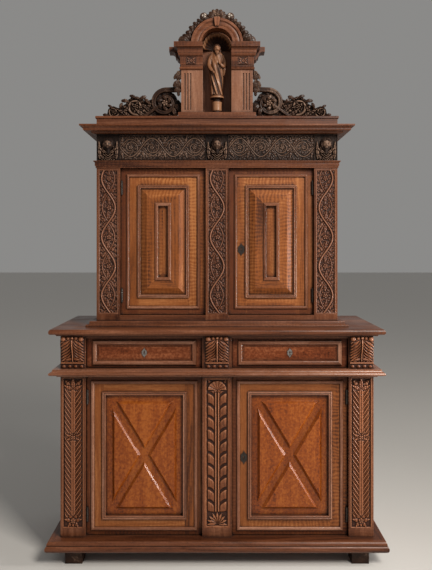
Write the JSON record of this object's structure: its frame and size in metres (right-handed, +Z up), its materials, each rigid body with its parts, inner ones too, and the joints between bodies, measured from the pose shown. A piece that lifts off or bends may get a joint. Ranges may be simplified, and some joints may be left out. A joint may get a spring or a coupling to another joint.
{
  "type": "two-part sideboard",
  "caption": "Two-part walnut sideboard in Renaissance style: panelled doors and drawers below, a set-back carved cupboard above, and a scrolled pediment with a niche and figure.",
  "frame": {"origin": "bottom centre of the bounding box, on the floor under the middle of the case", "axes": "+Z up, -Y out of the front, +X to the right as seen from the front"},
  "size_m": [1.496, 0.566, 2.4941],
  "materials": {
    "walnut": "waxed satin",
    "carved_walnut": "waxed satin, dark in the hollows",
    "inner_wood": "raw, aged",
    "figure_wood": "waxed satin",
    "iron": "dark satin"
  },
  "bodies": {
    "lower_case": {"feet": "walnut", "base_frame": "walnut", "lower_boards": "walnut", "lower_corner_posts": "walnut", "lower_centre_post": "walnut", "lower_sides": "walnut", "lower_back_boards": "inner_wood", "drawer_frame": "walnut", "waist_moulding": "walnut", "lower_top": "walnut", "lower_post_carvings": "carved_walnut", "drawer_consoles": "carved_walnut", "lower_hinge_pins": "iron"},
    "upper_case": {"upper_base_moulding": "walnut", "upper_boards": "walnut", "upper_corner_posts": "walnut", "upper_centre_post": "walnut", "upper_sides": "walnut", "upper_back_boards": "inner_wood", "frieze_rail": "walnut", "architrave_moulding": "walnut", "frieze_carvings": "carved_walnut", "frieze_heads": "carved_walnut", "cornice": "walnut", "vine_carvings": "carved_walnut", "upper_hinge_pins": "iron", "pediment_base": "walnut", "niche_back": "walnut", "niche_piers": "carved_walnut", "niche_capitals": "carved_walnut", "niche_arch": "carved_walnut", "niche_shell": "carved_walnut", "statuette_pedestal": "figure_wood", "statuette": "figure_wood", "scroll_wings": "carved_walnut", "crest_and_pendants": "carved_walnut"},
    "lower_left_door": {"lower_left_door_frame": "walnut", "lower_left_door_panel": "walnut", "lower_left_door_ironwork": "iron"},
    "lower_right_door": {"lower_right_door_frame": "walnut", "lower_right_door_panel": "walnut", "lower_right_door_ironwork": "iron"},
    "lower_lock_bolt": {"lower_lock_bolt": "iron"},
    "lower_turn_button": {"lower_turn_button": "inner_wood"},
    "upper_left_door": {"upper_left_door_frame": "walnut", "upper_left_door_panel": "walnut", "upper_left_door_ironwork": "iron"},
    "upper_right_door": {"upper_right_door_frame": "walnut", "upper_right_door_panel": "walnut", "upper_right_door_ironwork": "iron"},
    "upper_lock_bolt": {"upper_lock_bolt": "iron"},
    "upper_turn_button": {"upper_turn_button": "inner_wood"},
    "left_drawer": {"left_drawer_front": "walnut", "left_drawer_box": "inner_wood", "left_drawer_ironwork": "iron"},
    "left_drawer_bolt": {"left_drawer_bolt": "iron"},
    "right_drawer": {"right_drawer_front": "walnut", "right_drawer_box": "inner_wood", "right_drawer_ironwork": "iron"},
    "right_drawer_bolt": {"right_drawer_bolt": "iron"}
  },
  "joints": [
    {"name": "upper_case_lift", "type": "slide", "parent": "lower_case", "child": "upper_case", "axis": [0, 0, 1], "range_m": [0, 0.1]},
    {"name": "lower_left_door_hinge", "type": "hinge", "parent": "lower_case", "child": "lower_left_door", "pos_m": [-0.5767, -0.2123, 0.465], "axis": [0, 0, -1], "range_deg": [0, 105]},
    {"name": "lower_right_door_hinge", "type": "hinge", "parent": "lower_case", "child": "lower_right_door", "pos_m": [0.5767, -0.2123, 0.465], "axis": [0, 0, 1], "range_deg": [0, 105]},
    {"name": "lower_lock_bolt_slide", "type": "slide", "parent": "lower_right_door", "child": "lower_lock_bolt", "axis": [-1, 0, 0], "range_m": [0, 0.014]},
    {"name": "lower_turn_button_pivot", "type": "hinge", "parent": "lower_left_door", "child": "lower_turn_button", "pos_m": [-0.094, -0.176, 0.455], "axis": [0, 1, 0], "range_deg": [0, 90]},
    {"name": "upper_left_door_hinge", "type": "hinge", "parent": "upper_case", "child": "upper_left_door", "pos_m": [-0.4382, -0.1193, 1.4165], "axis": [0, 0, -1], "range_deg": [0, 105]},
    {"name": "upper_right_door_hinge", "type": "hinge", "parent": "upper_case", "child": "upper_right_door", "pos_m": [0.4382, -0.1193, 1.4165], "axis": [0, 0, 1], "range_deg": [0, 105]},
    {"name": "upper_lock_bolt_slide", "type": "slide", "parent": "upper_right_door", "child": "upper_lock_bolt", "axis": [-1, 0, 0], "range_m": [0, 0.014]},
    {"name": "upper_turn_button_pivot", "type": "hinge", "parent": "upper_left_door", "child": "upper_turn_button", "pos_m": [-0.081, -0.083, 1.38], "axis": [0, 1, 0], "range_deg": [0, 90]},
    {"name": "left_drawer_slide", "type": "slide", "parent": "lower_case", "child": "left_drawer", "axis": [0, -1, 0], "range_m": [0, 0.3]},
    {"name": "left_drawer_bolt_slide", "type": "slide", "parent": "left_drawer", "child": "left_drawer_bolt", "axis": [0, 0, 1], "range_m": [0, 0.01]},
    {"name": "right_drawer_slide", "type": "slide", "parent": "lower_case", "child": "right_drawer", "axis": [0, -1, 0], "range_m": [0, 0.3]},
    {"name": "right_drawer_bolt_slide", "type": "slide", "parent": "right_drawer", "child": "right_drawer_bolt", "axis": [0, 0, 1], "range_m": [0, 0.01]}
  ]
}
